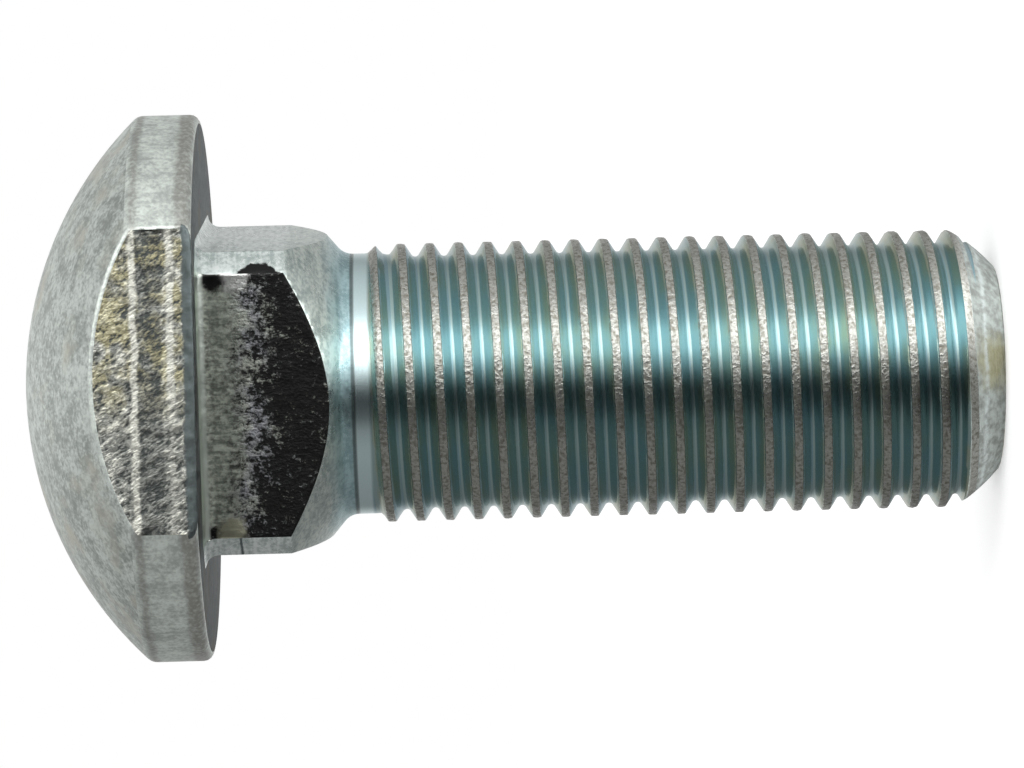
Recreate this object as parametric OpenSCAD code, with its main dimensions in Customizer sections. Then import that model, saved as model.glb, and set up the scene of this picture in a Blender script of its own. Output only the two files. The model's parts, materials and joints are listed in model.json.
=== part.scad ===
// Wheel bolt: one forged and rolled piece with a domed head, a square neck and a
// threaded shank. It stands on its threaded end. The bolt's axis is Z, and the
// origin is the centre of the flat face at the threaded end.

/* [Head] */
// Diameter of the head
head_d = 43.6; // [34:0.1:56]
// Height of the head, from its underside to the top of the dome
head_h = 14.3; // [9:0.1:20]
// Height of the rim, from the underside to the edge of the dome
rim_h = 4.8; // [3:0.1:7]
// Rounding between the rim and the dome
rim_round = 1; // [0.3:0.1:1.5]
// Rounding between the rim and the underside
seat_round = 0.7; // [0.2:0.1:1.2]
// Depth of the flat that is cut into the rim
flat_depth = 3.4; // [1:0.1:6]
// Rounding between the flat and the underside
flat_round = 0.5; // [0.2:0.1:1.5]
// Turn of the flat about the axis, away from the neck's front flat
flat_turn = 9; // [-45:1:45]

/* [Neck] */
// Width of the square neck across its flats
neck_w = 23.8; // [18:0.1:30]
// Diameter over the neck's rounded corners
neck_corner_d = 31.4; // [26:0.1:34]
// Length of the neck at its full section
neck_l = 6.8; // [3:0.1:14]
// Fillet between the neck and the underside of the head
neck_fillet = 1; // [0.3:0.1:2]
// Angle of the conical shoulder below the neck, from the axis
shoulder_angle = 50; // [35:1:65]
// Fillet between the shoulder and the plain blank
shoulder_fillet = 1.5; // [0.5:0.1:3]

/* [Shank] */
// Length from the threaded end to the underside of the head
shank_l = 63; // [45:0.5:120]
// Major diameter of the thread
thread_d = 22.225; // [17:0.005:28]
// Length of the run-out, where the thread dies into the blank
runout_l = 1; // [0.5:0.1:4]
// Diameter of the plain blank between the shoulder and the thread
blank_d = 20.8; // [15:0.1:26]
// Length of the plain blank between the shoulder and the thread
blank_l = 0.2; // [0.1:0.1:20]
// Length of the chamfer at the threaded end
end_chamfer = 3.6; // [0.5:0.1:5]
// Depth of that chamfer, in from the thread's major diameter
end_depth = 2.9; // [0.5:0.1:4]

/* [Hidden] */
$fn = 96;
zinc = [0.64, 0.70, 0.70];

head_r = head_d / 2;
neck_r = neck_corner_d / 2;
thread_r = thread_d / 2;
blank_r = blank_d / 2;

// The dome is a cap that starts at the rim's full radius.
dome_h = head_h - rim_h;
dome_r = (head_r * head_r + dome_h * dome_h) / (2 * dome_h);
dome_z = shank_l + head_h - dome_r;

// Centre of the rounding that touches the dome and the rim's wall, and the
// direction from the dome's centre through it.
rim_c_x = head_r - rim_round;
rim_c_z = dome_z + sqrt(pow(dome_r - rim_round, 2) - pow(rim_c_x, 2));
rim_way = [rim_c_x, rim_c_z - dome_z] / (dome_r - rim_round);

// The shoulder runs from the neck's corners down to the blank.
neck_z = shank_l - neck_l;
shoulder_z = neck_z - (neck_r - blank_r) / tan(shoulder_angle);
fillet_run = shoulder_fillet * tan(shoulder_angle / 2);
fillet_z = shoulder_z - fillet_run;
shoulder_way = [sin(shoulder_angle), cos(shoulder_angle)];

// The thread takes what the shoulder and the blank leave of the shank.
runout_z = fillet_z - blank_l - runout_l;

// Parts that are joined reach this far into each other, and cuts start this far
// outside what they cut.
overlap = 1;

// Material that a fillet of radius r adds in a corner. It touches the corner's
// two sides at a and b, and its centre is c.
module fillet(corner, a, b, c, r) {
    difference() {
        polygon([c, 2 * a - c, 2 * corner - c, 2 * b - c]);
        translate(c) circle(r = r);
    }
}

// Fillet between a wall at x and the underside of the head.
module neck_fillet_at(x) {
    fillet([x, shank_l], [x, shank_l - neck_fillet], [x + neck_fillet, shank_l],
           [x + neck_fillet, shank_l - neck_fillet], neck_fillet);
}

// Half section of the head, with the axis on the left. The dome's part reaches down
// into the rim's, so that the two are one.
module head_section() {
    intersection() {
        translate([0, dome_z]) circle(r = dome_r);
        polygon([
            [0, rim_c_z - overlap],
            [rim_c_x, rim_c_z - overlap],
            [rim_c_x, rim_c_z],
            [rim_c_x, rim_c_z] + 2 * rim_round * rim_way,
            [rim_c_x + 2 * rim_round * rim_way.x, shank_l + head_h + overlap],
            [0, shank_l + head_h + overlap]
        ]);
    }
    translate([rim_c_x, rim_c_z]) circle(r = rim_round);
    translate([0, shank_l]) square([head_r - seat_round, rim_c_z - shank_l]);
    translate([0, shank_l + seat_round]) square([head_r, rim_c_z - shank_l - seat_round]);
    translate([head_r - seat_round, shank_l + seat_round]) circle(r = seat_round);
}

// Section of the cut that makes the head's flat and rounds its lower edge. The
// flat is the right side of the square.
module flat_cut_section() {
    flat_y = flat_depth - head_r;
    translate([flat_y - flat_depth - overlap, shank_l - overlap])
        square([flat_depth + overlap, head_h + 2 * overlap]);
    fillet([flat_y, shank_l], [flat_y, shank_l + flat_round], [flat_y + flat_round, shank_l],
           [flat_y + flat_round, shank_l + flat_round], flat_round);
}

// Domed head with a flat on one side.
module head() {
    difference() {
        rotate_extrude() head_section();
        rotate(flat_turn)
            rotate([90, 0, 90])
                translate([0, 0, -head_r]) linear_extrude(height = head_d) flat_cut_section();
    }
}

// Half section over the neck's corners, with the axis on the left.
module corner_section() {
    polygon([
        [0, fillet_z],
        [blank_r, fillet_z],
        [blank_r, shoulder_z],
        [neck_r, neck_z],
        [neck_r, shank_l + overlap],
        [0, shank_l + overlap]
    ]);
    neck_fillet_at(neck_r);
    fillet([blank_r, shoulder_z], [blank_r, fillet_z],
           [blank_r, shoulder_z] + fillet_run * shoulder_way,
           [blank_r + shoulder_fillet, fillet_z], shoulder_fillet);
}

// Bar as wide as the neck, which flares out into the underside of the head.
module neck_bar() {
    rotate([90, 0, 0])
        linear_extrude(height = 2 * head_d, center = true) {
            translate([-neck_w / 2, 0]) square([neck_w, shank_l + overlap]);
            neck_fillet_at(neck_w / 2);
            mirror([1, 0]) neck_fillet_at(neck_w / 2);
        }
}

// Square neck with rounded corners, whose lower end is turned to a cone. Its front
// flat faces -Y.
module neck() {
    intersection() {
        rotate_extrude() corner_section();
        neck_bar();
        rotate(90) neck_bar();
    }
}

// Plain blank and thread. The thread is a smooth body at its major diameter, with a
// chamfer at its end and a short cone where it runs out into the blank.
module shank() {
    rotate_extrude()
        polygon([
            [0, 0],
            [thread_r - end_depth, 0],
            [thread_r, end_chamfer],
            [thread_r, runout_z],
            [blank_r, runout_z + runout_l],
            [blank_r, shank_l],
            [0, shank_l]
        ]);
}

module wheel_bolt() {
    color(zinc) {
        head();
        neck();
        shank();
    }
}

wheel_bolt();
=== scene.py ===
"""Looks of a wheel bolt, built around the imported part.

The bolt stands on its threaded end, with its axis on Z. It is one piece, so one mesh
stands for it: a rolled thread, a square neck and a domed head, each turned and milled
as the real one is, and joined at their open edges. Sizes are in millimetres until the
mesh is finished, and angles are in degrees. The studio is in metres.
"""

from __future__ import annotations

import json
import logging
import math
from collections.abc import Callable, Iterable
from dataclasses import dataclass
from enum import IntEnum

import bmesh
import bpy
from mathutils import Matrix, Vector, noise

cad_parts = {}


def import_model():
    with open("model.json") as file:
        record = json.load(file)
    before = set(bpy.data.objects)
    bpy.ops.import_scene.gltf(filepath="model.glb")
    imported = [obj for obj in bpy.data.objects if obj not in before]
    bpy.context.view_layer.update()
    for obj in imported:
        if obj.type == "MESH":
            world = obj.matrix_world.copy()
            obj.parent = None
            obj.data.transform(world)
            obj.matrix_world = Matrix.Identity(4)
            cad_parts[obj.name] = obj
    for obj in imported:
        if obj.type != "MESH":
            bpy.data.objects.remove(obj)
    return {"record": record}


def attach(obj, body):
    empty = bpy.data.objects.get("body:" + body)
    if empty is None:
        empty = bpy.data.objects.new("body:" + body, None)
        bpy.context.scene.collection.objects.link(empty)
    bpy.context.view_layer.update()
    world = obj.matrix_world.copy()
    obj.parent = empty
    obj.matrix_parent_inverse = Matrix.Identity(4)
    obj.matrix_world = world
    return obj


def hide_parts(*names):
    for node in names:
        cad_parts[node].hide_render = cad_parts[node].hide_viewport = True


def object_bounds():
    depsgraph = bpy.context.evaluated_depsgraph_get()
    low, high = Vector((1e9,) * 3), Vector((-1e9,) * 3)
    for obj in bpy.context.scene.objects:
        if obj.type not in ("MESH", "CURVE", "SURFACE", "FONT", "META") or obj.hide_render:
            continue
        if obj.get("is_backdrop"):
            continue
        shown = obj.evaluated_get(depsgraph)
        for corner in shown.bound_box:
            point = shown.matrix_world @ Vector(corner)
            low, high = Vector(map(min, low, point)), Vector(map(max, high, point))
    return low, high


log = logging.getLogger("wheel_bolt")

MM = 0.001
WELD = 0.002
UP = Vector((0.0, 0.0, 1.0))
PIECE = "wheel_bolt_visual"

BMesh = bmesh.types.BMesh
Vert = bmesh.types.BMVert
Edge = bmesh.types.BMEdge
Face = bmesh.types.BMFace
Socket = bpy.types.NodeSocket
Point = tuple[float, float]
Place = tuple[float, float, float]
Colour = tuple[float, float, float]
Height = Callable[[Vector], float]
Value = float | Socket
Tint = Colour | Socket


class Skin(IntEnum):
    """The bolt's surfaces, in the order of the mesh's material slots."""

    THREAD = 0
    END = 1
    SHOULDER = 2
    NECK_FLAT = 3
    UNDERSIDE = 4
    RIM = 5
    DOME = 6
    HEAD_FLAT = 7


# ---------------------------------------------------------------------------------
# Sizes


@dataclass(frozen=True)
class BoltSizes:
    """The bolt's main sizes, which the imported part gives."""

    head_r: float
    top_z: float
    seat_z: float
    head_flat: float
    head_flat_way: Vector
    neck_flat: float
    thread_r: float
    thread_start: float

    @classmethod
    def from_frame(cls, record: dict, high: Vector) -> BoltSizes:
        """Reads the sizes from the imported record's mounts and the part's box.

        Args:
            record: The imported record.
            high: The highest corner of the part's box, in metres.

        Returns:
            The sizes in millimetres.
        """
        mounts = {mount["name"]: mount for mount in record["mounts"]}

        def away(name: str) -> float:
            """Gives a mount's distance from the origin, along its own axis."""
            return Vector(mounts[name]["pos_m"]).dot(Vector(mounts[name]["axis"])) / MM

        thread = mounts["thread"]["dims"]
        return cls(
            head_r=high.x / MM,
            top_z=high.z / MM,
            seat_z=-away("bearing_face"),
            head_flat=away("head_flat"),
            head_flat_way=Vector(mounts["head_flat"]["axis"]).normalized(),
            neck_flat=away("neck_flat"),
            thread_r=thread["r_mm"],
            thread_start=mounts["thread"]["pos_m"][2] / MM - thread["length_mm"] / 2,
        )


# ---------------------------------------------------------------------------------
# Turning, milling and joining


def arc(centre: Point, radius: float, start: float, stop: float, count: int) -> list[Point]:
    """Gives the points of an arc in a half section.

    Args:
        centre: The arc's centre, as distance from the axis and height.
        radius: The arc's radius.
        start: Angle of the first point, from straight out.
        stop: Angle of the last point.
        count: How many points there are.

    Returns:
        The points from the first to the last.
    """
    angles = [math.radians(start + (stop - start) * k / (count - 1)) for k in range(count)]
    return [(centre[0] + radius * math.cos(a), centre[1] + radius * math.sin(a)) for a in angles]


def rows(start: Point, stop: Point, count: int) -> list[Point]:
    """Gives evenly spaced points on a straight line, both ends included."""
    shares = [k / (count - 1) for k in range(count)]
    return [tuple(a + (b - a) * s for a, b in zip(start, stop)) for s in shares]


def soft_step(low: float, high: float, value: float) -> float:
    """Rises smoothly from 0 at low to 1 at high."""
    share = min(1.0, max(0.0, (value - low) / (high - low)))
    return share * share * (3.0 - 2.0 * share)


def uneven(place: Vector, scale: float) -> float:
    """Gives noise of three layers at a place. Scale is its features to a millimetre."""
    return noise.fractal(place * scale, 1.0, 2.0, 3)


def turn(bm: BMesh, section: list[Point], steps: int, climb: float = 0.0) -> None:
    """Turns an open half section about the axis, into a shell or a screw.

    Args:
        bm: The mesh that takes the shell.
        section: The half section's points.
        steps: How many columns go round.
        climb: How far a screw rises in its one turn.
    """
    verts = [bm.verts.new((r, 0.0, z)) for r, z in section]
    edges = [bm.edges.new(pair) for pair in zip(verts, verts[1:])]
    bmesh.ops.spin(
        bm, geom=verts + edges, cent=(0, 0, 0), axis=UP, dvec=(0, 0, climb / steps),
        angle=2 * math.pi, steps=steps, use_merge=not climb, use_duplicate=False,
    )
    bmesh.ops.remove_doubles(bm, verts=bm.verts[:], dist=WELD)


def paint(faces: Iterable[Face], skin: Skin) -> None:
    """Says which of the bolt's surfaces some faces belong to."""
    for face in faces:
        face.material_index = skin


def open_edges(bm: BMesh, low: float, high: float) -> list[Edge]:
    """Gives the edges with a face on one side only that lie between two heights."""
    rims = [e for e in bm.edges if e.is_boundary]
    return [e for e in rims if all(low <= v.co.z <= high for v in e.verts)]


def trim(bm: BMesh, place: Vector, way: Vector) -> list[Edge]:
    """Cuts off what lies beyond a plane.

    Args:
        bm: The mesh.
        place: A point of the plane.
        way: The direction of what is cut off.

    Returns:
        The edges that the cut made.
    """
    cut = bmesh.ops.bisect_plane(
        bm, geom=bm.verts[:] + bm.edges[:] + bm.faces[:], dist=WELD,
        plane_co=place, plane_no=way, clear_outer=True,
    )
    return [g for g in cut["geom_cut"] if isinstance(g, Edge)]


def mill(
    bm: BMesh, way: Vector, distance: float, skin: Skin, edge: tuple[Point, ...], edge_skin: Skin,
) -> None:
    """Cuts a closed shell flat, closes the cut and rounds its edge.

    Args:
        bm: The shell.
        way: The direction that the flat faces.
        distance: The flat's distance from the axis.
        skin: The flat's surface.
        edge: Width and rise of each step of the rounded edge.
        edge_skin: The rounded edge's surface.
    """
    depth = sum(rise for _, rise in edge)
    loop = trim(bm, way * (distance - depth), way)
    flat = bmesh.ops.edgeloop_fill(bm, edges=loop, mat_nr=edge_skin)["faces"]
    bmesh.ops.recalc_face_normals(bm, faces=bm.faces[:])
    for width, rise in edge:
        bmesh.ops.inset_region(
            bm, faces=flat, thickness=width, depth=rise, use_even_offset=True,
            use_boundary=True,
        )
    paint(flat, skin)


def score(bm: BMesh, skin: Skin, way: Vector, low: float, high: float, spacing: float) -> None:
    """Cuts one surface's faces into strips, so that it can take a relief.

    Args:
        bm: The mesh.
        skin: The surface to cut.
        way: The direction that the cuts face.
        low: Where the cuts start, along that direction.
        high: Where they stop.
        spacing: Distance between two cuts.
    """
    for k in range(1, round((high - low) / spacing)):
        faces = [f for f in bm.faces if f.material_index == skin]
        edges = dict.fromkeys(e for f in faces for e in f.edges)
        verts = dict.fromkeys(v for f in faces for v in f.verts)
        bmesh.ops.bisect_plane(
            bm, geom=[*faces, *edges, *verts], dist=WELD,
            plane_co=way * (low + k * spacing), plane_no=way,
        )


def raise_relief(bm: BMesh, skin: Skin, height: Height) -> None:
    """Moves the inner vertices of one surface out by a height that varies.

    Args:
        bm: The mesh.
        skin: The surface.
        height: Gives the height at a place.
    """
    bm.normal_update()
    faces = {f for f in bm.faces if f.material_index == skin}
    inner = {
        v: v.normal.copy() for f in faces for v in f.verts
        if not v.is_boundary and faces.issuperset(v.link_faces)
    }
    for vert, way in inner.items():
        vert.co += way * height(vert.co)


def flare(bm: BMesh, rim: list[Edge], out: float, up: float) -> list[Edge]:
    """Draws an open rim outwards and up.

    Args:
        bm: The mesh.
        rim: The open rim's edges.
        out: How far each side moves out, square to itself.
        up: How far the rim moves up.

    Returns:
        The new rim's edges.
    """
    made = bmesh.ops.extrude_edge_only(bm, edges=rim)["geom"]
    ways: dict[Vert, list[Vector]] = {g: [] for g in made if isinstance(g, Vert)}
    rim = dict.fromkeys(e for v in ways for e in v.link_edges if all(w in ways for w in e.verts))
    for e in rim:
        along = e.verts[1].co - e.verts[0].co
        way = Vector((along.y, -along.x, 0.0)).normalized()
        if way.dot(e.verts[0].co) < 0:
            way.negate()
        for v in e.verts:
            ways[v].append(way)
    for v, (first, second) in ways.items():
        v.co += (first + second) / (1 + first.dot(second)) * out + UP * up
    return list(rim)


# ---------------------------------------------------------------------------------
# The bolt's three stretches


@dataclass(frozen=True)
class Helix:
    """The line that the thread's crest follows. Its angle is counted from +X."""

    pitch: float = 2.309
    start: float = -3.60


@dataclass(frozen=True)
class Chamfer:
    """The crowned chamfer at the threaded end."""

    length: float
    thread_r: float
    end_r: float = 8.21
    crown: float = 0.25

    def limit(self, z: float) -> float:
        """Works out the chamfer's outline.

        Args:
            z: A height above the end.

        Returns:
            The radius there.
        """
        share = min(1.0, max(0.0, z / self.length))
        straight = self.end_r + (self.thread_r - self.end_r) * share
        return straight + 4 * self.crown * share * (1 - share)


@dataclass(frozen=True)
class Thread:
    """The rolled thread, with its chamfered end and its run-out.

    The section of one turn is a narrow crest, two flanks and a round root. A fade is
    where the crest or the root goes over into the blank.
    """

    sizes: BoltSizes
    helix: Helix
    chamfer: Chamfer
    flank_angle: float = 32.0
    crest_half: float = 0.22
    crest_side: float = 0.33
    crest_drop: float = 0.06
    crest_depth: tuple[float, float] = (0.2, 0.02)
    crest_wear: float = 0.03
    dent_depth: float = 0.05
    dent_scales: tuple[float, float] = (2.1, 4.7)
    small_dents: float = 0.6
    root_half: float = 0.30
    root_points: int = 5
    blank_r: float = 10.4
    crest_fade: tuple[float, float] = (49.0, 50.0)
    root_fade: tuple[float, float] = (46.2, 49.8)
    join_z: float = 50.95
    steps: int = 144

    def turn_section(self) -> list[Point]:
        """Gives one turn's section.

        Returns:
            The section's points, as offset from the crest and radius.
        """
        lean = math.radians(self.flank_angle)
        run = self.helix.pitch / 2 - self.crest_side - self.root_half
        drop = run / math.tan(lean)
        root_r = self.root_half / math.cos(lean)
        top = self.sizes.thread_r
        side = top - self.crest_drop
        half = [
            (self.crest_half, top - self.crest_drop / 4),
            (self.crest_side, side),
            (self.crest_side + run / 2, side - drop / 2),
        ]
        root = (self.helix.pitch / 2, side - drop + root_r * math.sin(lean))
        half += arc(root, root_r, self.flank_angle - 180, -90, self.root_points)
        other = [(self.helix.pitch - u, v) for u, v in reversed(half[:-1])]
        return [(0.0, top)] + half + other

    def shape(self, place: Vector) -> Vector:
        """Moves a point of the endless thread to where the real one lies.

        Args:
            place: The point on the endless thread.

        Returns:
            The point on the real thread, which is worn at its crest, chamfered at the
            end and dies into the blank.
        """
        r = math.hypot(place.x, place.y)
        top = self.sizes.thread_r
        crest = soft_step(*(top - depth for depth in self.crest_depth), r)
        large, small = (noise.noise(place * scale) for scale in self.dent_scales)
        dents = self.dent_depth * (large + self.small_dents * small)
        wanted = r + crest * (dents - self.crest_wear)
        fade = self.crest_fade if wanted > self.blank_r else self.root_fade
        wanted += (self.blank_r - wanted) * soft_step(*fade, place.z)
        wanted = min(wanted, self.chamfer.limit(place.z), top)
        return Vector((place.x * wanted / r, place.y * wanted / r, place.z))

    def build(self) -> BMesh:
        """Spins the turns, shapes them and trims both ends.

        Returns:
            The thread's mesh, open where it meets the neck.
        """
        bm = bmesh.new()
        start, pitch = self.helix.start, self.helix.pitch
        turns = math.ceil((self.join_z - start) / pitch) + 1
        section = [(v, start + k * pitch + u) for k in range(turns) for u, v in self.turn_section()]
        turn(bm, section, self.steps, climb=pitch)
        trim(bm, Vector(), -UP)
        trim(bm, UP * self.join_z, UP)
        for vert in bm.verts:
            vert.co = self.shape(vert.co)
        bmesh.ops.remove_doubles(bm, verts=bm.verts[:], dist=WELD)
        paint(bm.faces, Skin.THREAD)
        bmesh.ops.edgeloop_fill(bm, edges=open_edges(bm, -1, WELD), mat_nr=Skin.END)
        return bm


@dataclass(frozen=True)
class Neck:
    """The square neck, the conical shoulder below it and the fillet above it.

    It is turned as far as spare above the seat, so that the flats close properly.
    """

    sizes: BoltSizes
    corner_r: float = 15.7
    blank_r: float = Thread.blank_r
    blank_z: float = 51.05
    length: float = 6.8
    spare: float = 1.5
    shoulder_angle: float = 50.0
    shoulder_fillet: float = 1.5
    head_fillet: float = 1.0
    head_fillet_steps: int = 5
    edge: tuple[Point, ...] = ((0.04, 0.05), (0.08, 0.02))
    scuff_scale: float = 0.9
    scuff_height: float = 0.035
    scuff_wear: float = 0.03
    grid: float = 0.4
    steps: int = 144

    def section(self) -> list[Point]:
        """Gives the half section over the corners.

        Returns:
            The section's points, from the blank into the head.
        """
        seat = self.sizes.seat_z
        fillet_r = self.shoulder_fillet
        centre = (self.blank_r + fillet_r, self.blank_z)
        fillet = arc(centre, fillet_r, 180, 180 - self.shoulder_angle, count=6)
        cone = rows(fillet[-1], (self.corner_r, seat - self.length), count=13)
        wall = rows(cone[-1], (self.corner_r, seat + self.spare), count=10)
        return fillet + cone[1:] + wall[1:]

    def scuffs(self, place: Vector) -> float:
        """Gives the height of the marks on the front flat."""
        return self.scuff_height * uneven(place, self.scuff_scale) - self.scuff_wear

    def build(self) -> BMesh:
        """Turns the neck, mills its four flats and draws its fillet.

        Returns:
            The neck's mesh, open at both ends.
        """
        bm = bmesh.new()
        turn(bm, self.section(), self.steps)
        paint(bm.faces, Skin.SHOULDER)
        seat, half = self.sizes.seat_z, self.sizes.neck_flat
        bmesh.ops.edgeloop_fill(bm, edges=open_edges(bm, seat, seat + self.spare + WELD))
        for quarter in range(4):
            way = Matrix.Rotation(math.radians(90 * quarter), 3, "Z") @ Vector((0, -1, 0))
            skin = Skin.SHOULDER if quarter else Skin.NECK_FLAT
            mill(bm, way, half, skin, self.edge, skin)
        trim(bm, UP * (seat - self.head_fillet), UP)
        score(bm, Skin.NECK_FLAT, UP, self.blank_z, seat, self.grid)
        score(bm, Skin.NECK_FLAT, Vector((1, 0, 0)), -half, half, self.grid)
        rim = open_edges(bm, seat - self.head_fillet - WELD, seat)
        fillet = arc((0.0, 0.0), self.head_fillet, 180, 90, self.head_fillet_steps + 1)
        for before, now in zip(fillet, fillet[1:]):
            rim = flare(bm, rim, now[0] - before[0], now[1] - before[1])
        raise_relief(bm, Skin.NECK_FLAT, self.scuffs)
        return bm


@dataclass(frozen=True)
class Head:
    """The domed head with a flat on one side.

    The flat's trough and ridge are given by where each starts to change, has changed,
    starts to change back and has changed back, above the seat.
    """

    sizes: BoltSizes
    rim_h: float = 4.8
    rim_round: float = 1.0
    rim_over: float = 0.3
    seat_round: float = 0.7
    edge: tuple[Point, ...] = ((0.12, 0.16), (0.25, 0.04))
    trough: tuple[float, ...] = (2.0, 2.3, 3.6, 3.9)
    trough_depth: float = 0.12
    ridge: tuple[float, ...] = (3.8, 4.0, 4.4, 4.8)
    ridge_height: float = 0.08
    wave_scale: float = 0.35
    wave_height: float = 0.25
    grain_scale: float = 1.3
    grain: float = 0.05
    grid: float = 0.3
    steps: int = 144

    def section(self) -> list[Point]:
        """Gives the half section.

        Returns:
            The section's points, from the underside to the top of the dome.
        """
        s = self.sizes
        dome_h = s.top_z - s.seat_z - self.rim_h
        dome_r = (s.head_r**2 + dome_h**2) / (2 * dome_h)
        dome_z = s.top_z - dome_r
        rim_x = s.head_r - self.rim_round
        rim_z = dome_z + math.sqrt((dome_r - self.rim_round) ** 2 - rim_x**2)
        lean = math.degrees(math.atan2(rim_z - dome_z, rim_x))
        seat_centre = (s.head_r - self.seat_round, s.seat_z + self.seat_round)
        seat = arc(seat_centre, self.seat_round, -90, 0, count=5)
        wall = rows(seat[-1], (s.head_r, rim_z), count=8)
        edge = arc((rim_x, rim_z), self.rim_round, 0, lean, count=5)
        dome = arc((0.0, dome_z), dome_r, lean, 90, count=26)
        return seat + wall[1:-1] + edge + dome[1:]

    def bands(self, place: Vector) -> float:
        """Gives the height of the sheared bands across the flat.

        Args:
            place: A place on the flat.

        Returns:
            How far the flat stands out there.
        """
        across = Vector((place.x * self.wave_scale, place.y * self.wave_scale, 3.0))
        z = place.z - self.sizes.seat_z + self.wave_height * noise.noise(across)
        trough, ridge = (
            soft_step(*band[:2], z) - soft_step(*band[2:], z) for band in (self.trough, self.ridge)
        )
        rough = self.grain * (uneven(place, self.grain_scale) - 1)
        return rough - self.trough_depth * trough + self.ridge_height * ridge

    def build(self) -> BMesh:
        """Turns the head, mills its flat and opens its underside for the neck.

        Returns:
            The head's mesh, open at its underside.
        """
        bm = bmesh.new()
        turn(bm, self.section(), self.steps)
        s = self.sizes
        dome_z = s.seat_z + self.rim_h + self.rim_over
        paint(bm.faces, Skin.DOME)
        paint((f for f in bm.faces if f.calc_center_median().z < dome_z), Skin.RIM)
        bmesh.ops.edgeloop_fill(bm, edges=open_edges(bm, s.seat_z - WELD, s.seat_z + WELD))
        mill(bm, s.head_flat_way, s.head_flat, Skin.HEAD_FLAT, self.edge, Skin.RIM)
        edge_foot = s.head_flat - sum(rise for _, rise in self.edge)
        for face in bm.faces:
            centre = face.calc_center_median()
            if centre.dot(s.head_flat_way) > edge_foot and centre.z < s.seat_z + self.seat_round:
                face.material_index = Skin.HEAD_FLAT
        underside = [
            f for f in bm.faces if all(abs(v.co.z - s.seat_z) < WELD for v in f.verts)
        ]
        bmesh.ops.delete(bm, geom=underside, context="FACES_ONLY")
        along = UP.cross(s.head_flat_way)
        score(bm, Skin.HEAD_FLAT, UP, s.seat_z, s.top_z, self.grid)
        score(bm, Skin.HEAD_FLAT, along, -s.head_r, s.head_r, self.grid)
        raise_relief(bm, Skin.HEAD_FLAT, self.bands)
        return bm


# ---------------------------------------------------------------------------------
# Finishes


def rgba(colour: Tint) -> tuple[float, ...] | Socket:
    """Gives a written colour its fourth number, and leaves a node's output alone."""
    return (*colour, 1.0) if isinstance(colour, tuple) else colour


class Nodes:
    """The nodes of a material or of the world."""

    def __init__(self, owner: bpy.types.Material | bpy.types.World) -> None:
        """Starts with no nodes.

        Args:
            owner: The material or the world.
        """
        owner.use_nodes = True
        self.tree = owner.node_tree
        self.tree.nodes.clear()

    def node(self, kind: str, inputs: dict | None = None, **settings: object) -> bpy.types.Node:
        """Adds a node.

        Args:
            kind: The node's type.
            inputs: What each input takes: a value or another node's output.
            settings: The node's own settings.

        Returns:
            The node.
        """
        made = self.tree.nodes.new(kind)
        for name, value in settings.items():
            setattr(made, name, value)
        for key, value in (inputs or {}).items():
            if isinstance(value, Socket):
                self.tree.links.new(value, made.inputs[key])
            else:
                made.inputs[key].default_value = value
        return made

    def math(self, operation: str, first: Value, second: Value = 0.0) -> Socket:
        """Works out one value from two."""
        return self.node("ShaderNodeMath", {0: first, 1: second}, operation=operation).outputs[0]

    def times(self, first: Value, second: Value) -> Socket:
        """Multiplies two values."""
        return self.math("MULTIPLY", first, second)

    def minus(self, first: Value, second: Value) -> Socket:
        """Takes the second value from the first."""
        return self.math("SUBTRACT", first, second)

    def larger(self, first: Value, second: Value) -> Socket:
        """Gives the larger of two values."""
        return self.math("MAXIMUM", first, second)


@dataclass(frozen=True)
class Mark:
    """A small mark, whole up to near and gone from far on. Scale is its outline's."""

    place: Place
    near: float
    far: float
    scale: float = 1.5


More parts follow.
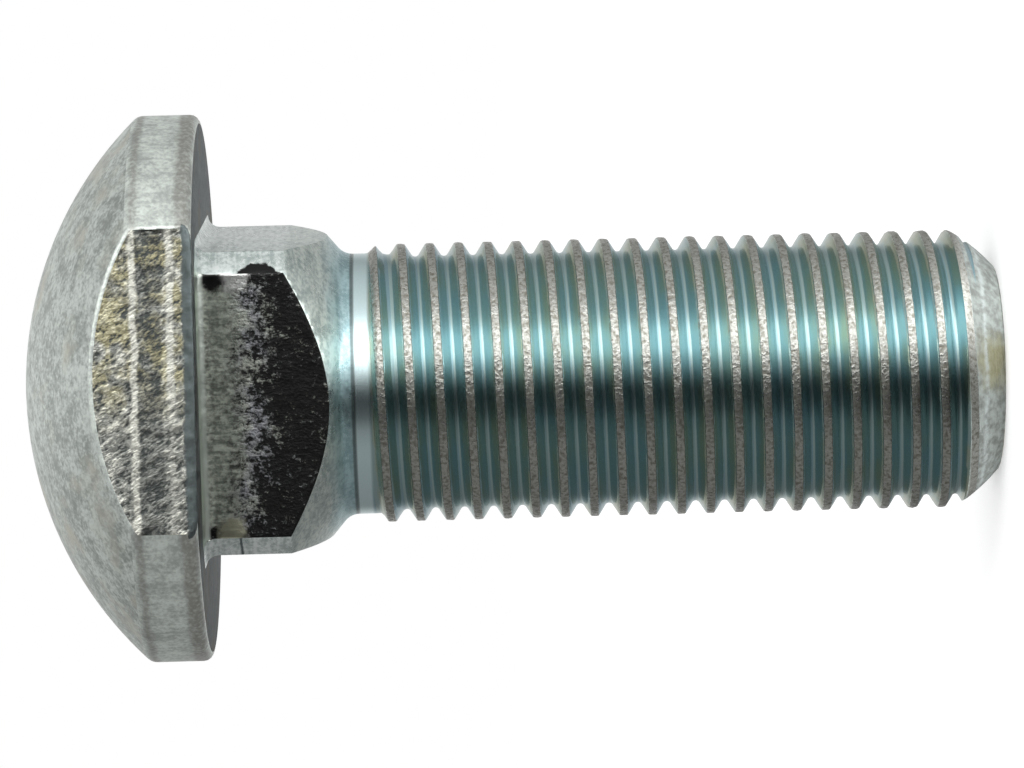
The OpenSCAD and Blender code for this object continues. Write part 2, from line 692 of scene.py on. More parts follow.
class Sheet(Nodes):
    """One finish's nodes. Places are in millimetres from the bolt's origin."""

    def __init__(self, name: str) -> None:
        """Starts an empty material.

        Args:
            name: The material's name.
        """
        self.material = bpy.data.materials.new(name)
        super().__init__(self.material)
        place = self.node("ShaderNodeTexCoord").outputs["Object"]
        self.place = self.vector("MULTIPLY", place, (1 / MM, 1 / MM, 1 / MM))
        self.x, self.y, self.z = self.node("ShaderNodeSeparateXYZ", {0: self.place}).outputs

    def vector(
        self, operation: str, first: Socket, second: Place = (0.0, 0.0, 0.0),
        output: str = "Vector",
    ) -> Socket:
        """Works out a place from two, or with the output Value a distance."""
        made = self.node("ShaderNodeVectorMath", {0: first, 1: second}, operation=operation)
        return made.outputs[output]

    def step(
        self, value: Value, low: float, high: float, start: float = 0.0, stop: float = 1.0,
    ) -> Socket:
        """Goes smoothly from start to stop while a value goes from low to high."""
        ends = {"Value": value, "From Min": low, "From Max": high, "To Min": start, "To Max": stop}
        return self.node("ShaderNodeMapRange", ends, interpolation_type="SMOOTHSTEP").outputs[0]

    def fall(self, value: Value, low: float, high: float) -> Socket:
        """Goes smoothly from 1 to 0 while a value goes from low to high."""
        return self.step(value, low, high, 1.0, 0.0)

    def zone(self, value: Value, low: float, high: float, soft: float) -> Socket:
        """Is 1 while a value is between low and high, and 0 outside, with soft limits."""
        rise = self.step(value, low - soft, low + soft)
        return self.times(rise, self.fall(value, high - soft, high + soft))

    def grain(
        self, scale: float, detail: float = 3.0, roughness: float = 0.55,
        stretch: Colour = (1.0, 1.0, 1.0), shift: float = 0.0, slant: float = 0.0,
    ) -> Socket:
        """Gives cloudy noise from 0 to 1.

        Args:
            scale: Features to a millimetre.
            detail: How many finer layers there are.
            roughness: How strong the finer layers are.
            stretch: How much denser the noise is along each axis.
            shift: Moves the noise, so that two layers differ.
            slant: Turns the noise about Y.

        Returns:
            The noise's value.
        """
        leaning = {"Vector": self.place, "Angle": math.radians(slant)}
        turned = self.node("ShaderNodeVectorRotate", leaning, rotation_type="Y_AXIS").outputs[0]
        scaled = self.vector("MULTIPLY", turned, tuple(scale * s for s in stretch))
        inputs = {
            "Vector": self.vector("ADD", scaled, (shift, shift, shift)), "Scale": 1.0,
            "Detail": detail, "Roughness": roughness,
        }
        return self.node("ShaderNodeTexNoise", inputs, noise_dimensions="3D").outputs[0]

    def wander(self, value: Value, scale: float, reach: float, shift: float = 0.0) -> Socket:
        """Adds noise of a given reach to a value, so that a limit on it is not straight."""
        centred = self.minus(self.grain(scale, shift=shift), 0.5)
        return self.math("ADD", value, self.times(centred, 2 * reach))

    def spot(self, mark: Mark) -> Socket:
        """Works out how far a mark covers the surface.

        Args:
            mark: The mark, which gets a ragged outline.

        Returns:
            1 inside the mark, and 0 away from it.
        """
        away = self.vector("DISTANCE", self.place, mark.place, "Value")
        away = self.wander(away, mark.scale, (mark.near + mark.far) / 3)
        return self.fall(away, mark.near, mark.far)

    def mix(self, share: Value, first: Tint, second: Tint) -> Socket:
        """Mixes two colours by a share."""
        inputs = {0: share, 6: rgba(first), 7: rgba(second)}
        return self.node("ShaderNodeMix", inputs, data_type="RGBA").outputs[2]

    def fade(self, value: Value, low: float, high: float, first: Tint, second: Tint) -> Socket:
        """Goes from the first colour to the second while a value goes from low to high."""
        return self.mix(self.step(value, low, high), first, second)

    def blend(self, share: Value, first: Value, second: Value) -> Socket:
        """Mixes two plain values by a share."""
        inputs = {0: share, 2: first, 3: second}
        return self.node("ShaderNodeMix", inputs, data_type="FLOAT").outputs[0]

    def bump(self, height: Value, depth: float, normal: Socket | None = None) -> Socket:
        """Turns a height into a bumped normal.

        Args:
            height: The height, from 0 to 1.
            depth: How deep the bump is, in millimetres.
            normal: Another bump that this one adds to.

        Returns:
            The normal.
        """
        inputs = {"Height": height, "Strength": 1.0, "Distance": depth * MM}
        if normal is not None:
            inputs["Normal"] = normal
        return self.node("ShaderNodeBump", inputs).outputs["Normal"]

    def finish(
        self, colour: Socket, roughness: Value, normal: Socket, metal: Value = 1.0,
        edge: float = 1.0,
    ) -> bpy.types.Material:
        """Puts a shader at the end of the nodes.

        Args:
            colour: The metal's colour.
            roughness: How rough it is.
            normal: Its bumped normal.
            metal: How much of it is bare metal. The rest is dull.
            edge: How bright the metal stays when seen from the side.

        Returns:
            The material.
        """
        inputs = {
            "Base Color": colour, "Metallic": metal, "Roughness": roughness, "Normal": normal,
            "Specular Tint": rgba((edge, edge, edge)),
        }
        shader = self.node("ShaderNodeBsdfPrincipled", inputs)
        self.node("ShaderNodeOutputMaterial", {"Surface": shader.outputs["BSDF"]})
        return self.material


@dataclass(frozen=True)
class Mottle:
    """Clouds, streaks and specks, which share out the two colours of a plated surface.

    Clouds, streaks and specks are features to a millimetre. The streaks run round the
    bolt where stretch is large along Z, and along it where stretch is small there.
    """

    clouds: float = 0.5
    streaks: float = 1.0
    streak_detail: float = 4.0
    streak_share: float = 0.5
    stretch: Colour = (1.0, 1.0, 1.0)
    specks: float = 3.0
    speck_share: float = 0.4

    def lay(self, sheet: Sheet) -> tuple[Socket, Socket, Socket, Socket]:
        """Lays the mottle over a surface.

        Args:
            sheet: The material's nodes.

        Returns:
            The clouds, the clouds with the streaks, the specks, and all three together.
        """
        clouds = sheet.grain(self.clouds, detail=5.0, roughness=0.6)
        streaks = sheet.grain(
            self.streaks, detail=self.streak_detail, stretch=self.stretch, shift=5.0,
        )
        coarse = sheet.blend(self.streak_share, clouds, streaks)
        specks = sheet.grain(self.specks, detail=3.0, shift=7.0)
        return clouds, coarse, specks, sheet.blend(self.speck_share, coarse, specks)


@dataclass(frozen=True)
class Seam:
    """The dark line round the blank, where the thread's part meets the neck's."""

    low: float = Thread.join_z
    high: float = 51.26
    soft: float = 0.08
    share: float = 0.8

    def line(self, sheet: Sheet) -> Socket:
        """Gives how much of the surface is dark."""
        return sheet.times(sheet.zone(sheet.z, self.low, self.high, self.soft), self.share)


@dataclass(frozen=True)
class RolledThread:
    """Bright plated flanks and roots, a rough crest, a turned chamfer and the blank."""

    helix: Helix
    chamfer: Chamfer
    seam: Seam
    crest_side: float = Thread.crest_side
    crest_soft: float = 0.05
    blank_z: tuple[float, float] = (49.7, 50.0)
    chamfer_skin: tuple[float, float] = (-0.09, -0.03)
    chamfer_top: tuple[float, float] = (2.9, 3.3)
    chamfer_thread: tuple[float, float] = (1.8, 2.0)
    lip_z: tuple[float, float] = (1.5, 1.8)
    stain_at: Mark = Mark((1.6, -9.0, 1.0), near=0.6, far=3.0, scale=0.9)
    flank: Colour = (0.41, 0.56, 0.55)
    flank_olive: Colour = (0.47, 0.52, 0.40)
    flank_teal: Colour = (0.33, 0.48, 0.48)
    flank_blue: Colour = (0.30, 0.47, 0.52)
    blank: Colour = (0.78, 0.97, 0.99)
    crest: Colour = (0.55, 0.56, 0.52)
    crest_dark: Colour = (0.28, 0.27, 0.23)
    turned: Colour = (0.60, 0.66, 0.63)
    turned_dark: Colour = (0.33, 0.35, 0.33)
    turned_gold: Colour = (0.46, 0.43, 0.22)
    lip: Colour = (0.78, 0.86, 0.85)
    dark_tone: Colour = (0.16, 0.19, 0.19)

    def from_crest(self, sheet: Sheet) -> Socket:
        """Works out where a place lies on its turn of the thread.

        Args:
            sheet: The material's nodes.

        Returns:
            The distance along the axis from the nearest crest, positive above it.
        """
        round_it = sheet.math("DIVIDE", sheet.math("ARCTAN2", sheet.y, sheet.x), 2 * math.pi)
        lead = sheet.math("DIVIDE", sheet.minus(sheet.z, self.helix.start), self.helix.pitch)
        count = sheet.minus(lead, round_it)
        return sheet.times(sheet.minus(count, sheet.math("ROUND", count)), self.helix.pitch)

    def on_chamfer(self, sheet: Sheet) -> Socket:
        """Works out where the surface lies on the chamfer.

        Args:
            sheet: The material's nodes.

        Returns:
            1 on the chamfer, and 0 inside it and above it.
        """
        share = sheet.math("DIVIDE", sheet.z, self.chamfer.length)
        rise = sheet.times(share, self.chamfer.thread_r - self.chamfer.end_r)
        crown = sheet.times(sheet.times(share, sheet.minus(1.0, share)), 4 * self.chamfer.crown)
        limit = sheet.math("ADD", sheet.math("ADD", rise, crown), self.chamfer.end_r)
        flat_place = sheet.vector("MULTIPLY", sheet.place, (1.0, 1.0, 0.0))
        radius = sheet.vector("LENGTH", flat_place, output="Value")
        near = sheet.step(sheet.minus(radius, limit), *self.chamfer_skin)
        return sheet.times(near, sheet.fall(sheet.z, *self.chamfer_top))

    def plating(self, sheet: Sheet, threaded: Socket) -> Socket:
        """Colours the flanks, the blank and the seam above it.

        Args:
            sheet: The material's nodes.
            threaded: Is 1 on the thread and 0 on the blank.

        Returns:
            The colour.
        """
        above = self.from_crest(sheet)
        lower = sheet.fade(sheet.grain(scale=0.12), 0.40, 0.60, self.flank_teal, self.flank_blue)
        near_crest = sheet.fall(sheet.wander(above, scale=0.5, reach=0.2), 0.65, 0.95)
        olive = sheet.times(near_crest, sheet.step(sheet.grain(scale=0.16, shift=9.0), 0.34, 0.62))
        upper = sheet.mix(olive, self.flank, self.flank_olive)
        tint = sheet.fade(above, -0.1, 0.1, lower, upper)
        tint = sheet.mix(threaded, self.blank, tint)
        return sheet.mix(self.seam.line(sheet), tint, self.dark_tone)

    def material(self) -> bpy.types.Material:
        """Builds the thread's material.

        Returns:
            The material.
        """
        sheet = Sheet("rolled_thread")
        threaded = sheet.fall(sheet.z, *self.blank_z)
        away = sheet.wander(sheet.math("ABSOLUTE", self.from_crest(sheet)), scale=2.6, reach=0.06)
        side, soft = self.crest_side, self.crest_soft
        on_crest = sheet.times(sheet.fall(away, side - soft, side + soft), threaded)
        pits = sheet.grain(scale=3.4, detail=2.5, shift=4.0)
        crest = sheet.fade(pits, 0.30, 0.60, self.crest_dark, self.crest)
        colour = sheet.mix(on_crest, self.plating(sheet, threaded), crest)

        chamfered = self.on_chamfer(sheet)
        worn = sheet.step(sheet.grain(scale=1.5, detail=4.0, shift=6.0), 0.32, 0.66)
        turned = sheet.mix(worn, self.turned_dark, self.turned)
        stain = sheet.times(sheet.spot(self.stain_at), 0.7)
        turned = sheet.mix(stain, turned, self.turned_gold)
        lip = sheet.zone(sheet.wander(sheet.z, scale=0.5, reach=0.20), *self.lip_z, soft=0.15)
        lip = sheet.times(lip, sheet.step(worn, 0.0, 1.0, start=0.25, stop=0.8))
        turned = sheet.mix(lip, turned, self.lip)
        rough_end = sheet.times(on_crest, sheet.step(sheet.z, *self.chamfer_thread))
        end = sheet.times(chamfered, sheet.minus(1.0, rough_end))
        colour = sheet.mix(end, colour, turned)

        dull = sheet.step(pits, 0.35, 0.65, start=0.38, stop=0.26)
        roughness = sheet.blend(on_crest, 0.20, dull)
        roughness = sheet.blend(end, roughness, sheet.blend(lip, 0.62, 0.40))
        rolled = sheet.grain(scale=1.0, stretch=(0.8, 0.8, 9.0), shift=2.0)
        normal = sheet.bump(rolled, depth=0.008)
        normal = sheet.bump(sheet.times(pits, on_crest), depth=0.07, normal=normal)
        fine = sheet.times(sheet.grain(scale=2.0, stretch=(1.0, 1.0, 3.0), shift=17.0), end)
        normal = sheet.bump(fine, depth=0.08, normal=normal)
        metal = sheet.blend(end, sheet.blend(chamfered, 1.0, 0.6), 0.15)
        return sheet.finish(colour, roughness, normal, metal)


@dataclass(frozen=True)
class PlatedSkin:
    """Mottled plating over a forged or turned surface."""

    name: str
    light: Colour
    dark: Colour
    stain: Colour
    mottle: Mottle
    roughness: tuple[float, float] = (0.35, 0.5)
    depth: float = 0.03
    metal: float = 1.0
    edge: float = 1.0

    def material(self) -> bpy.types.Material:
        """Builds the surface's material.

        Returns:
            The material.
        """
        sheet = Sheet(self.name)
        clouds, coarse, specks, mottled = self.mottle.lay(sheet)
        colour = sheet.fade(mottled, 0.40, 0.60, self.dark, self.light)
        colour = sheet.fade(sheet.grain(scale=0.22, shift=13.0), 0.50, 0.75, colour, self.stain)
        rough = sheet.step(clouds, 0.3, 0.7, *self.roughness)
        normal = sheet.bump(coarse, self.depth)
        normal = sheet.bump(specks, self.depth * 0.6, normal)
        return sheet.finish(colour, rough, normal, self.metal, self.edge)


@dataclass(frozen=True)
class DrawnShoulder:
    """The neck's pale corners and plain flats, and the darker cone below them.

    The front flat's black runs over one edge in an arch, and one corner has a nick.
    """

    neck_z: float
    seam: Seam
    mottle: Mottle = Mottle(stretch=(0.4, 0.4, 3.0))
    corner: Colour = (0.92, 0.99, 0.96)
    corner_dark: Colour = (0.50, 0.58, 0.56)
    cone: Colour = (0.86, 0.94, 0.88)
    cone_dark: Colour = (0.49, 0.58, 0.56)
    fillet: Colour = (0.60, 0.82, 0.85)
    fillet_dark: Colour = (0.39, 0.58, 0.61)
    fillet_top: tuple[float, float] = (51.86, 53.66)
    dark_tone: Colour = (0.14, 0.17, 0.17)
    nick_z: tuple[float, float] = (60.0, 60.2)
    nick_x: tuple[float, float] = (-10.4, -9.8)
    nick_y: tuple[float, float] = (-9.5, -9.0)
    black: Colour = (0.02, 0.021, 0.02)
    black_z: float = 58.2
    black_top: float = 60.2
    black_x: tuple[float, float] = (8.5, 10.2)
    black_y: tuple[float, float] = (-10.8, -10.4)
    arch_rise: float = 0.85
    arch_half: tuple[float, float] = (0.3, 2.1)

    def marks(self, sheet: Sheet) -> tuple[Socket, Socket]:
        """Works out where the shoulder is marked.

        Args:
            sheet: The material's nodes.

        Returns:
            Where the seam and the nick are, and where the black runs over the edge.
        """
        nick = sheet.zone(sheet.wander(sheet.z, scale=1.0, reach=0.15), *self.nick_z, soft=0.06)
        nick = sheet.times(nick, sheet.fall(sheet.x, *self.nick_x))
        nick = sheet.times(nick, sheet.fall(sheet.y, *self.nick_y))
        along = sheet.math("ABSOLUTE", sheet.minus(sheet.z, self.black_z))
        arch = sheet.step(along, *self.arch_half, start=self.arch_rise, stop=0.0)
        across = sheet.wander(sheet.minus(sheet.x, arch), scale=1.8, reach=0.35, shift=15.0)
        black = sheet.zone(across, *self.black_x, soft=0.06)
        black = sheet.times(black, sheet.zone(sheet.z, self.neck_z, self.black_top, soft=0.05))
        black = sheet.times(black, sheet.fall(sheet.y, *self.black_y))
        return sheet.larger(self.seam.line(sheet), nick), black

    def material(self) -> bpy.types.Material:
        """Builds the shoulder's material.

        Returns:
            The material.
        """
        sheet = Sheet("drawn_shoulder")
        clouds, _, _, share = self.mottle.lay(sheet)
        light = sheet.step(share, 0.40, 0.60)
        cone = sheet.mix(light, self.cone_dark, self.cone)
        fillet = sheet.mix(light, self.fillet_dark, self.fillet)
        height = sheet.wander(sheet.z, scale=0.4, reach=0.6, shift=9.0)
        cone = sheet.fade(height, *self.fillet_top, fillet, cone)
        corner = sheet.mix(light, self.corner_dark, self.corner)
        up = sheet.step(sheet.z, self.neck_z - 0.3, self.neck_z + 0.3)
        colour = sheet.mix(up, cone, corner)
        marks, black = self.marks(sheet)
        colour = sheet.mix(marks, colour, self.dark_tone)
        colour = sheet.mix(black, colour, self.black)
        rough = sheet.step(clouds, 0.3, 0.7, start=0.24, stop=0.36)
        normal = sheet.bump(share, depth=0.03)
        return sheet.finish(colour, rough, normal, sheet.step(up, 0.0, 1.0, start=1.0, stop=0.88))


@dataclass(frozen=True)
class ForgedRim:
    """The head's rim, with bands round it and fine scratches along the axis."""

    seat_z: float
    mottle: Mottle = Mottle(
        clouds=0.6, streaks=3.0, streak_detail=3.0, streak_share=0.3, stretch=(1.0, 1.0, 0.10),
    )
    pale: Colour = (0.90, 0.97, 0.91)
    dark: Colour = (0.54, 0.58, 0.55)
    brown: Colour = (0.36, 0.36, 0.33)
    edge_line: tuple[float, float] = (4.15, 4.75)
    low_line: tuple[float, float] = (0.1, 1.3)

    def material(self) -> bpy.types.Material:
        """Builds the rim's material.

        Returns:
            The material.
        """
        sheet = Sheet("forged_rim")
        clouds, _, specks, share = self.mottle.lay(sheet)
        colour = sheet.fade(share, 0.38, 0.62, self.dark, self.pale)
        height = sheet.wander(sheet.minus(sheet.z, self.seat_z), scale=0.3, reach=0.35, shift=8.0)
        height = sheet.wander(height, scale=1.8, reach=0.15, shift=12.0)
        edge_line = sheet.times(sheet.zone(height, *self.edge_line, soft=0.25), 0.8)
        lines = sheet.larger(edge_line, sheet.zone(height, *self.low_line, soft=0.30))
        lines = sheet.times(lines, sheet.step(specks, 0.35, 0.65, start=0.95, stop=0.6))
        colour = sheet.mix(lines, colour, self.brown)
        rough = sheet.step(clouds, 0.3, 0.7, start=0.36, stop=0.50)
        return sheet.finish(colour, rough, sheet.bump(share, depth=0.04), metal=0.86)


@dataclass(frozen=True)
class ShearedFlat:
    """The head's flat: coarse speckle over bands left by the shear."""

    seat_z: float
    cream: Colour = (0.88, 0.88, 0.79)
    pale_gold: Colour = (0.84, 0.81, 0.58)
    grey: Colour = (0.38, 0.39, 0.36)
    gold: Colour = (0.47, 0.44, 0.28)
    dark: Colour = (0.10, 0.11, 0.105)
    slate: Colour = (0.17, 0.20, 0.20)
    ridge: tuple[float, float] = (4.30, 4.80)
    trough: tuple[float, float] = (2.4, 4.25)
    line: tuple[float, float] = (1.45, 2.0)
    slate_top: float = 0.85
    stretch: Colour = (1.0, 1.0, 0.5)
    slant: float = 35.0

    def material(self) -> bpy.types.Material:
        """Builds the flat's material.

        Returns:
            The material.
        """
        sheet = Sheet("sheared_flat")
        height = sheet.wander(sheet.minus(sheet.z, self.seat_z), scale=0.35, reach=0.30, shift=8.0)
        height = sheet.wander(height, scale=1.6, reach=0.20, shift=12.0)
        coarse = sheet.grain(scale=2.0, detail=3.0, stretch=self.stretch, slant=self.slant)
        fine = sheet.grain(scale=5.0, detail=2.0, stretch=self.stretch, shift=3.0, slant=self.slant)
        chips = sheet.blend(0.45, coarse, fine)
        upper = sheet.step(sheet.wander(sheet.x, scale=0.3, reach=3.0), -2.0, 5.0)
        gold = sheet.times(upper, sheet.step(sheet.grain(scale=0.6, shift=5.0), 0.36, 0.60))
        base = sheet.mix(gold, self.grey, self.gold)
        bright = sheet.mix(gold, self.cream, self.pale_gold)
        colour = sheet.fade(chips, 0.38, 0.50, self.dark, base)
        colour = sheet.fade(chips, 0.50, 0.62, colour, bright)
        sooty = sheet.fade(chips, 0.42, 0.62, self.dark, base)
        colour = sheet.mix(sheet.zone(height, *self.trough, soft=0.15), colour, sooty)
        line = sheet.zone(height, *self.line, soft=0.14)
        line = sheet.times(line, sheet.step(upper, 0.0, 1.0, start=0.3, stop=1.0))
        crests = sheet.larger(sheet.zone(height, *self.ridge, soft=0.12), line)
        crests = sheet.times(crests, sheet.step(chips, 0.34, 0.52, start=0.3, stop=1.0))
        colour = sheet.mix(crests, colour, self.cream)
        smooth = sheet.fall(height, self.slate_top - 0.2, self.slate_top + 0.1)
        colour = sheet.mix(smooth, colour, self.slate)
        rugged = sheet.times(chips, sheet.step(smooth, 0.0, 1.0, start=1.0, stop=0.2))
        rough = sheet.step(chips, 0.3, 0.7, start=0.50, stop=0.36)
        return sheet.finish(colour, rough, sheet.bump(rugged, depth=0.10))


@dataclass(frozen=True)
class ScuffedFlat:
    """The neck's front flat: near black towards the thread, mottled towards the head."""

    seat_z: float
    side_darkening: tuple[float, float] = (8.8, 9.8)
    drawn: Colour = (0.82, 0.89, 0.76)
    drawn_dark: Colour = (0.42, 0.46, 0.40)
    grey: Colour = (0.50, 0.53, 0.47)
    lilac: Colour = (0.47, 0.48, 0.51)
    silver: Colour = (0.80, 0.82, 0.76)
    dark_tone: Colour = (0.033, 0.034, 0.033)
    soot_at: Mark = Mark((9.6, -11.9, 61.6), near=0.4, far=1.1, scale=2.5)
    burr: Colour = (0.66, 0.66, 0.50)
    burr_at: Mark = Mark((-9.8, -11.9, 60.7), near=0.7, far=1.4)
    torn: Colour = (0.95, 0.97, 0.94)
    torn_at: Mark = Mark((10.0, -11.9, 60.1), near=0.7, far=1.4, scale=2.5)
    # Painted highlight: the pale fillet colour stands in for the light that the fillet under the
    # head catches.
    fillet: Colour = (0.76, 0.83, 0.76)
    fillet_highlight_reach: tuple[float, float] = (0.4, 0.65)

    def darkening(self, sheet: Sheet, below: Socket) -> Socket:
        """Gives how far the darkening goes: the distance below the head, drawn ragged.

        Args:
            sheet: The material's nodes.
            below: The distance below the underside of the head.

        Returns:
            How far the darkening goes, which is larger near the flat's sides.
        """
        drift = sheet.wander(below, scale=0.30, reach=1.4, shift=3.0)
        drift = sheet.wander(drift, scale=1.0, reach=0.9, shift=31.0)
        drift = sheet.math("ADD", drift, sheet.fall(sheet.x, -9.0, -4.0))
        across = sheet.wander(sheet.math("ABSOLUTE", sheet.x), scale=1.0, reach=0.5, shift=5.0)
        sides = sheet.step(across, *self.side_darkening, start=0.0, stop=6.0)
        return sheet.larger(drift, sides)

    def material(self) -> bpy.types.Material:
        """Builds the flat's material.

        Returns:
            The material.
        """
        sheet = Sheet("scuffed_flat")
        below = sheet.minus(self.seat_z, sheet.z)
        darkening = self.darkening(sheet, below)
        scratches = sheet.grain(scale=2.6, detail=4.0, stretch=(1.0, 1.0, 0.10), shift=11.0)
        patches = sheet.grain(scale=0.9, detail=3.0, shift=23.0)
        pits = sheet.grain(
            scale=3.0, detail=4.0, roughness=0.72, stretch=(1.0, 1.0, 0.8), shift=2.0,
        )
        smear = sheet.fade(sheet.grain(scale=0.35, shift=7.0), 0.42, 0.62, self.grey, self.lilac)
        # Below its pale top the flat is mottled grey and near black. It goes blacker towards the
        # thread and at its sides.
        left = sheet.blend(0.30, pits, patches)
        left = sheet.minus(left, sheet.step(darkening, 3.4, 7.2, start=0.0, stop=0.14))
        colour = sheet.fade(left, 0.41, 0.57, self.dark_tone, smear)
        colour = sheet.mix(sheet.step(left, 0.57, 0.66, start=0.0, stop=0.7), colour, self.silver)
        share = sheet.blend(0.5, scratches, pits)
        drawn = sheet.fade(share, 0.40, 0.60, self.drawn_dark, self.drawn)
        colour = sheet.fade(darkening, 1.8, 3.8, drawn, colour)
        marks = {self.burr_at: self.burr, self.torn_at: self.torn, self.soot_at: self.dark_tone}
        for mark, tint in marks.items():
            colour = sheet.mix(sheet.spot(mark), colour, tint)
        # Painted highlight: the top of the flat's fillet is painted pale where it catches the
        # light.
        colour = sheet.mix(sheet.fall(below, *self.fillet_highlight_reach), colour, self.fillet)
        rough = sheet.step(left, 0.35, 0.60, start=0.30, stop=0.42)
        normal = sheet.bump(scratches, depth=0.02)
        deep_pits = sheet.times(pits, sheet.step(below, 1.5, 4.0))
        normal = sheet.bump(deep_pits, depth=0.09, normal=normal)
        return sheet.finish(colour, rough, normal)


# ---------------------------------------------------------------------------------
# The bolt


@dataclass(frozen=True)
class WheelBolt:
    """The whole bolt, as one mesh with one material for each kind of surface."""

    sizes: BoltSizes
    helix: Helix
    chamfer: Chamfer
    seam: Seam = Seam()
    sharp_angle: float = 50.0
    joint_reach: float = 0.1

    def finishes(self) -> dict[Skin, bpy.types.Material]:
        """Builds the materials.

        Returns:
            The material of each surface.
        """
        seat_z = self.sizes.seat_z
        plain = Mottle(clouds=0.4, specks=3.5, speck_share=0.35)
        streaked = Mottle(clouds=0.8, stretch=(0.6, 0.6, 3.0), specks=3.5, speck_share=0.35)
        made = {
            Skin.THREAD: RolledThread(self.helix, self.chamfer, self.seam),
            Skin.END: PlatedSkin(
                "turned_end", light=(0.60, 0.62, 0.52), dark=(0.36, 0.38, 0.32),
                stain=(0.62, 0.56, 0.30), mottle=streaked, roughness=(0.38, 0.5),
            ),
            Skin.SHOULDER: DrawnShoulder(neck_z=seat_z - Neck.length, seam=self.seam),
            Skin.NECK_FLAT: ScuffedFlat(seat_z),
            Skin.UNDERSIDE: PlatedSkin(
                "plated_underside", light=(0.40, 0.43, 0.43), dark=(0.24, 0.26, 0.27),
                stain=(0.36, 0.35, 0.30), mottle=plain, edge=0.25,
            ),
            Skin.RIM: ForgedRim(seat_z),
            Skin.DOME: PlatedSkin(
                "forged_dome", light=(0.68, 0.73, 0.69), dark=(0.33, 0.36, 0.34),
                stain=(0.56, 0.56, 0.48), mottle=plain, depth=0.04, metal=0.72,
            ),
            Skin.HEAD_FLAT: ShearedFlat(seat_z),
        }
        return {skin: finish.material() for skin, finish in made.items()}

    def build(self) -> bpy.types.Object:
        """Builds the three stretches, joins them and gives them their finish.

        Returns:
            The finished piece.
        """
        seat_z, reach = self.sizes.seat_z, self.joint_reach
        thread, neck = Thread(self.sizes, self.helix, self.chamfer), Neck(self.sizes)
        mesh = bpy.data.meshes.new(PIECE)
        bm = bmesh.new()
        for part in (thread, neck, Head(self.sizes)):
            stretch = part.build()
            stretch.to_mesh(mesh)
            stretch.free()
            bm.from_mesh(mesh)
            log.info("%s: %d faces", type(part).__name__, len(mesh.polygons))
        bm.normal_update()
        blank = open_edges(bm, thread.join_z - reach, neck.blank_z + reach)
        paint(bmesh.ops.bridge_loops(bm, edges=blank)["faces"], Skin.THREAD)
        seat = open_edges(bm, seat_z - reach, seat_z + reach)
        filled = bmesh.ops.triangle_fill(bm, use_beauty=True, use_dissolve=False, edges=seat)
        paint((g for g in filled["geom"] if isinstance(g, Face)), Skin.UNDERSIDE)
        bmesh.ops.recalc_face_normals(bm, faces=bm.faces[:])
        bmesh.ops.scale(bm, vec=(MM, MM, MM), verts=bm.verts[:])
        for face in bm.faces:
            face.smooth = True
        open_count = sum(not e.is_manifold for e in bm.edges)
        bm.to_mesh(mesh)
        bm.free()
        mesh.set_sharp_from_angle(angle=math.radians(self.sharp_angle))
        finishes = self.finishes()
        for skin in Skin:
            mesh.materials.append(finishes[skin])
        piece = bpy.data.objects.new(PIECE, mesh)
        bpy.context.scene.collection.objects.link(piece)
        triangles = sum(len(p.vertices) - 2 for p in mesh.polygons)
        log.info("%s: %d triangles, %d open edges", PIECE, triangles, open_count)
        return piece


# ---------------------------------------------------------------------------------
# The studio


@dataclass(frozen=True)
class Viewpoint:
    """The camera: level with the upper shank, with the bolt's axis across the view."""

    turn: float = 7.4
    distance: float = 372.0
    height: float = 43.6
    aim_z: float = 38.6
    aim_side: float = -0.35
    roll: float = 1.5
    lens: float = 163.5

    def place(self) -> bpy.types.Object:
        """Makes the scene's camera.

        Returns:
            The camera.
        """
        angle = math.radians(self.turn)
        out = Vector((math.sin(angle), -math.cos(angle), 0.0))
        stand = out * self.distance + UP * self.height
        aim = UP.cross(out) * self.aim_side + UP * self.aim_z
        back = (stand - aim).normalized()
        across = (-UP + back * back.dot(UP)).normalized()
        over = back.cross(across)
        lean = math.radians(self.roll)
        right = across * math.cos(lean) - over * math.sin(lean)
        top = over * math.cos(lean) + across * math.sin(lean)
        data = bpy.data.cameras.new("camera")
        data.lens = self.lens
        data.clip_start = 0.01
        camera = bpy.data.objects.new("camera", data)
        turned = Matrix((right, top, back)).transposed().to_4x4()
        camera.matrix_world = Matrix.Translation(stand * MM) @ turned
        bpy.context.scene.collection.objects.link(camera)
        bpy.context.scene.camera = camera
        return camera


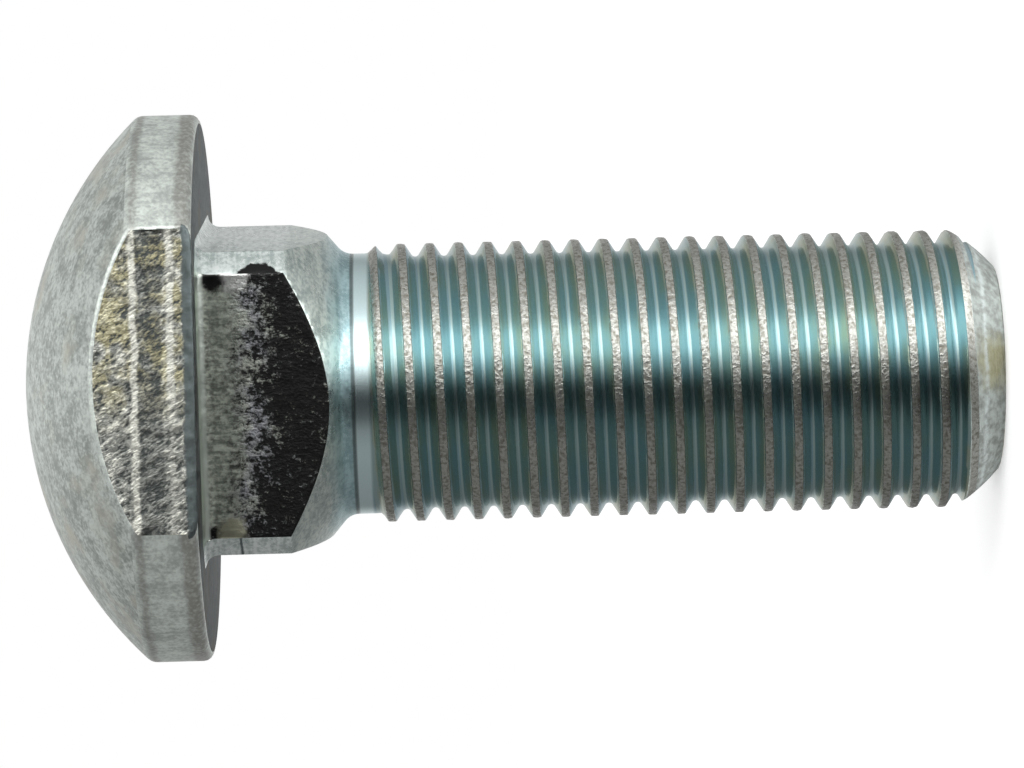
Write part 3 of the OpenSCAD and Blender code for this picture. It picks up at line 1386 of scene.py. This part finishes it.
@dataclass(frozen=True)
class Studio:
    """A pale floor and surround, one soft lamp and a tent that the metal mirrors.

    The tent's brightness goes by the angle from the camera's side, counted towards +X.
    """

    view_turn: float
    floor_size: float = 6.0
    floor_colour: float = 0.8
    floor_glow: float = 0.35
    floor_drop: float = 0.00002
    lamp_turn: float = 38.0
    lamp_distance: float = 0.6
    lamp_width: float = 0.30
    lamp_length: float = 0.7
    lamp_power: float = 1.2
    lamp_aim: float = 0.04
    tent_radius: float = 0.8
    tent_height: float = 1.6
    tent_lift: float = 0.0001
    tent_peak: float = 2.4
    tent: tuple[Point, ...] = (
        (-180, 0.90), (-162, 0.55), (-140, 0.20), (-106, 0.22), (-60, 0.26), (-42, 0.21),
        (-30, 0.08), (-14, 0.03), (-6, 0.07), (2, 0.28), (9, 0.68), (17, 1.35),
        (26, 2.3), (42, 2.3), (52, 1.3), (64, 0.80), (85, 0.62), (105, 0.52),
        (138, 0.34), (162, 0.60), (180, 0.90),
    )

    def staged(self, name: str, bm: BMesh) -> tuple[bpy.types.Object, Nodes]:
        """Makes an object of the studio, which isn't part of the bolt.

        Args:
            name: The object's name.
            bm: Its mesh, which is used up.

        Returns:
            The object and the nodes of its material.
        """
        mesh = bpy.data.meshes.new(name)
        bm.to_mesh(mesh)
        bm.free()
        material = bpy.data.materials.new(name)
        mesh.materials.append(material)
        made = bpy.data.objects.new(name, mesh)
        bpy.context.scene.collection.objects.link(made)
        made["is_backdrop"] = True
        return made, Nodes(material)

    def seen(self, nodes: Nodes) -> Socket:
        """Tells what the camera sees.

        Args:
            nodes: The material's nodes.

        Returns:
            1 for what it sees directly or mirrored in the metal, and 0 for the rest.
        """
        path = nodes.node("ShaderNodeLightPath").outputs
        mirrored = nodes.larger(path["Is Camera Ray"], path["Is Glossy Ray"])
        return nodes.larger(mirrored, path["Is Transmission Ray"])

    def floor(self) -> None:
        """Makes the floor, which looks white and keeps the bolt's shadow."""
        bm = bmesh.new()
        bmesh.ops.create_grid(bm, x_segments=1, y_segments=1, size=self.floor_size / 2)
        floor, nodes = self.staged("floor", bm)
        floor.location.z = -self.floor_drop
        strength = nodes.times(self.seen(nodes), self.floor_glow)
        glow = nodes.node("ShaderNodeEmission", {"Strength": strength})
        diffuse = nodes.node("ShaderNodeBsdfDiffuse", {"Color": rgba((self.floor_colour,) * 3)})
        both = nodes.node("ShaderNodeAddShader", {0: diffuse.outputs[0], 1: glow.outputs[0]})
        nodes.node("ShaderNodeOutputMaterial", {"Surface": both.outputs[0]})

    def lamp(self) -> None:
        """Makes the tall soft lamp that gives the bolt its shadow."""
        data = bpy.data.lights.new("soft_lamp", "AREA")
        data.shape = "RECTANGLE"
        data.size = self.lamp_width
        data.size_y = self.lamp_length
        data.energy = self.lamp_power
        lamp = bpy.data.objects.new("soft_lamp", data)
        angle = math.radians(self.view_turn + self.lamp_turn)
        lamp.location = Vector((math.sin(angle), -math.cos(angle), 0.0)) * self.lamp_distance
        lamp.location.z = self.lamp_length / 2
        aim = UP * self.lamp_aim - lamp.location
        lamp.rotation_euler = aim.to_track_quat("-Z", "Y").to_euler()
        lamp.visible_glossy = False
        bpy.context.scene.collection.objects.link(lamp)

    def hang_tent(self) -> None:
        """Makes the tent: a round wall whose brightness goes by its angle."""
        bm = bmesh.new()
        bmesh.ops.create_cone(
            bm, cap_ends=True, cap_tris=True, segments=96, radius1=self.tent_radius,
            radius2=self.tent_radius, depth=self.tent_height,
            matrix=Matrix.Translation(UP * (self.tent_height / 2 + self.tent_lift)),
        )
        tent, nodes = self.staged("tent", bm)
        tent.rotation_euler.z = math.radians(self.view_turn)
        tent.visible_camera = False
        tent.visible_diffuse = False
        tent.visible_shadow = False
        place = nodes.node("ShaderNodeTexCoord").outputs["Object"]
        parts = nodes.node("ShaderNodeSeparateXYZ", {0: place}).outputs
        turned = nodes.math("ARCTAN2", parts["X"], nodes.times(parts["Y"], -1.0))
        ends = {"Value": turned, "From Min": -math.pi, "From Max": math.pi}
        share = nodes.node("ShaderNodeMapRange", ends).outputs["Result"]
        ramp = nodes.node("ShaderNodeValToRGB", {0: share})
        stops = ramp.color_ramp.elements
        while len(stops) < len(self.tent):
            stops.new(0.5)
        for stop, (angle, level) in zip(stops, self.tent):
            stop.position = angle / 360 + 0.5
            stop.color = rgba((level / self.tent_peak,) * 3)
        inputs = {"Color": ramp.outputs["Color"], "Strength": self.tent_peak}
        glow = nodes.node("ShaderNodeEmission", inputs)
        nodes.node("ShaderNodeOutputMaterial", {"Surface": glow.outputs[0]})

    def world(self) -> None:
        """Makes the surround, which is white."""
        world = bpy.data.worlds.new("surround")
        nodes = Nodes(world)
        glow = nodes.node("ShaderNodeBackground", {"Color": rgba((1.0, 1.0, 1.0))})
        nodes.node("ShaderNodeOutputWorld", {"Surface": glow.outputs[0]})
        bpy.context.scene.world = world

    def build(self) -> None:
        """Makes the floor, the lamp, the tent and the surround."""
        self.floor()
        self.lamp()
        self.hang_tent()
        self.world()
        bpy.context.scene.view_settings.view_transform = "Standard"
        log.info("studio: floor, lamp, tent and surround")


def main() -> None:
    """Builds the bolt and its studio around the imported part."""
    logging.basicConfig(level=logging.INFO, format="%(name)s: %(message)s")
    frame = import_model()
    low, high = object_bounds()
    sizes = BoltSizes.from_frame(frame["record"], high)
    chamfer = Chamfer(length=sizes.thread_start, thread_r=sizes.thread_r)
    bolt = WheelBolt(sizes, Helix(), chamfer).build()
    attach(bolt, "root")
    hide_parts("wheel_bolt")
    view = Viewpoint()
    view.place()
    Studio(view_turn=view.turn).build()


if __name__ == "__main__":
    main()
